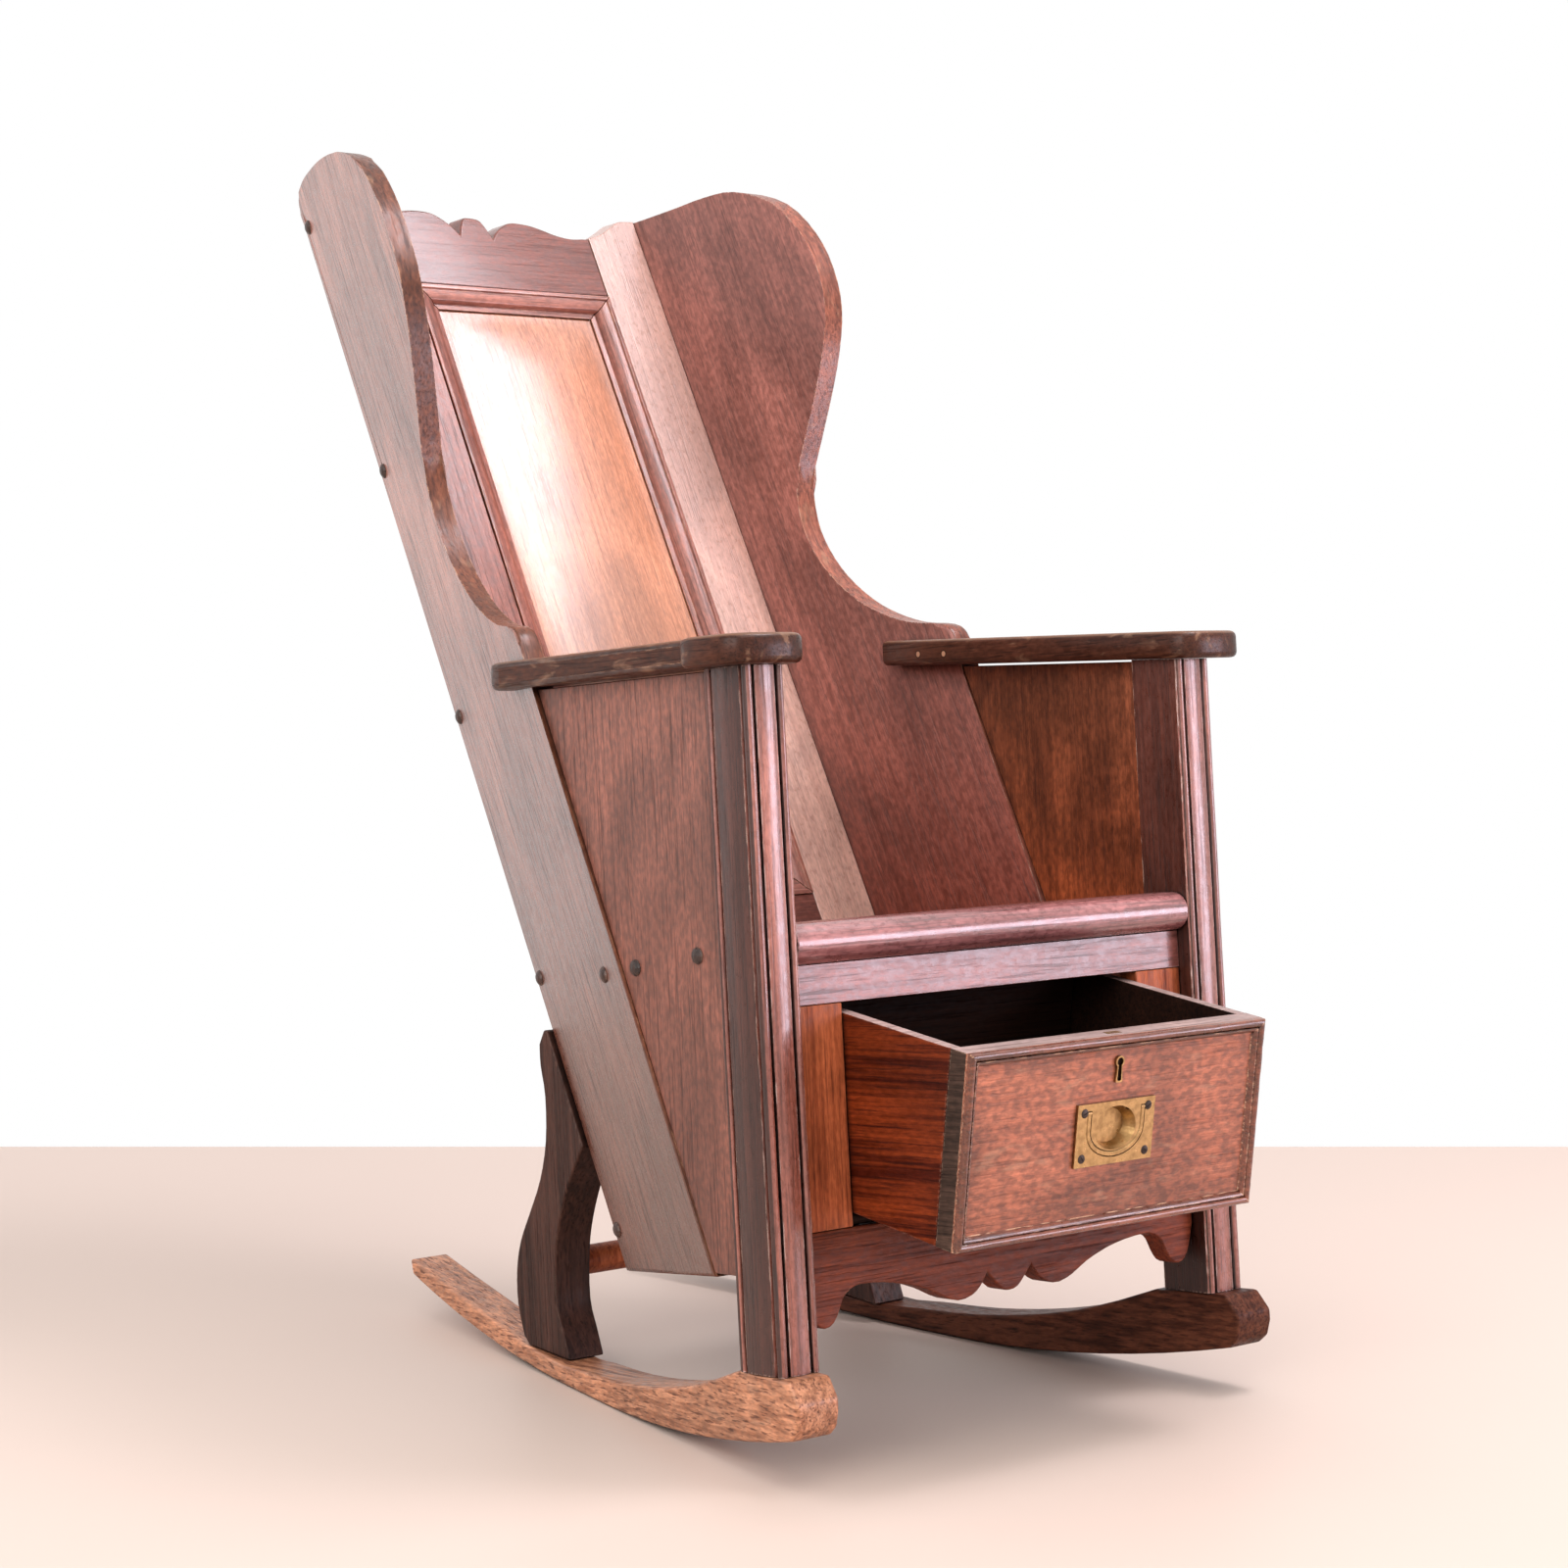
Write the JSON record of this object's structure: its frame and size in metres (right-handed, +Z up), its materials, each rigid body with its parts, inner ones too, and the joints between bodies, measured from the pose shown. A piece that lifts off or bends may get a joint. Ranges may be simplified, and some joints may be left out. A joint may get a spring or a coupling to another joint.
{
  "type": "lambing chair",
  "caption": "Winged wooden armchair with a raked panelled back, boarded sides, a tipping drawer with brass flush handle under the sloping seat, a scalloped apron and rockers.",
  "frame": {"origin": "on the floor, on the centre line, at the middle of the overall depth with the drawer standing open", "axes": "+Z up; the chair faces -Y; +X towards the sitter's left hand side as seen from behind, the right of the chair seen from the front"},
  "size_m": [0.6092, 1.0113, 1.1651],
  "materials": {
    "side_wood": "worn, waxed, fine grain",
    "post_wood": "polished by use, bruised edges",
    "arm_wood": "dark, rubbed shiny at the edges",
    "seat_wood": "worn, waxed",
    "front_wood": "waxed",
    "back_wood": "glossy old polish",
    "leg_wood": "dull, very dark",
    "rocker_light_wood": "worn, orange-brown",
    "rocker_dark_wood": "dark, dented",
    "drawer_wood": "waxed, mottled",
    "drawer_side_wood": "planed, unpolished",
    "inner_wood": "rough, darkened",
    "stud_wood": "rubbed peg heads",
    "brass": "aged, yellow-brown",
    "bolt_brass": "dull"
  },
  "bodies": {
    "chair": {"apron": "front_wood", "arm_left": "arm_wood", "arm_right": "arm_wood", "back_bottom_rail": "back_wood", "back_moulding_bottom": "back_wood", "back_moulding_left": "back_wood", "back_moulding_right": "back_wood", "back_moulding_top": "back_wood", "back_panel": "back_wood", "back_stile_left": "back_wood", "back_stile_right": "back_wood", "crest_rail": "back_wood", "drawer_runner_left": "inner_wood", "drawer_runner_right": "inner_wood", "front_stile_left": "front_wood", "front_stile_right": "front_wood", "front_top_rail": "front_wood", "post_left": "post_wood", "post_right": "post_wood", "rear_leg_left": "leg_wood", "rear_leg_right": "leg_wood", "rear_stretcher": "leg_wood", "rocker_left": "rocker_light_wood", "rocker_right": "rocker_dark_wood", "seat_board": "seat_wood", "seat_nosing": "post_wood", "side_panel_left": "side_wood", "side_panel_right": "side_wood", "stud_left_1": "stud_wood", "stud_left_2": "stud_wood", "stud_left_3": "stud_wood", "stud_left_4": "stud_wood", "stud_left_5": "stud_wood", "stud_left_6": "stud_wood", "stud_left_7": "stud_wood", "stud_left_8": "stud_wood", "stud_right_1": "stud_wood", "stud_right_2": "stud_wood", "stud_right_3": "stud_wood", "stud_right_4": "stud_wood", "stud_right_5": "stud_wood", "stud_right_6": "stud_wood", "stud_right_7": "stud_wood", "stud_right_8": "stud_wood", "wing_left": "side_wood", "wing_right": "side_wood"},
    "bearer": {"drawer_bearer": "inner_wood"},
    "drawer": {"drawer_front": "drawer_wood", "drawer_side_left": "drawer_side_wood", "drawer_side_right": "drawer_side_wood", "drawer_back": "inner_wood", "drawer_bottom": "inner_wood", "drawer_moulding_top": "drawer_wood", "drawer_moulding_bottom": "drawer_wood", "drawer_moulding_left": "drawer_wood", "drawer_moulding_right": "drawer_wood", "handle_plate": "brass", "keyhole_plate": "brass"},
    "bail": {"bail_handle": "brass"},
    "bolt": {"lock_bolt": "bolt_brass"}
  },
  "joints": [
    {"name": "drawer_tip", "type": "hinge", "parent": "chair", "child": "bearer", "pos_m": [0, -0.35067, 0.2056], "axis": [1, 0, 0], "range_deg": [-11.01, 2.75]},
    {"name": "drawer_slide", "type": "slide", "parent": "bearer", "child": "drawer", "axis": [0, -0.9942, -0.1071], "range_m": [-0.123, 0.03]},
    {"name": "bail_swing", "type": "hinge", "parent": "drawer", "child": "bail", "pos_m": [0, -0.49378, 0.2989], "axis": [-1, 0, 0], "range_deg": [0, 95]},
    {"name": "bolt_slide", "type": "slide", "parent": "drawer", "child": "bolt", "axis": [0, -0.1071, 0.9942], "range_m": [0, 0.018]}
  ],
  "couplings": [
    {"joint": "drawer_tip", "follows": "drawer_slide", "rad_per_m": 1.5609}
  ]
}
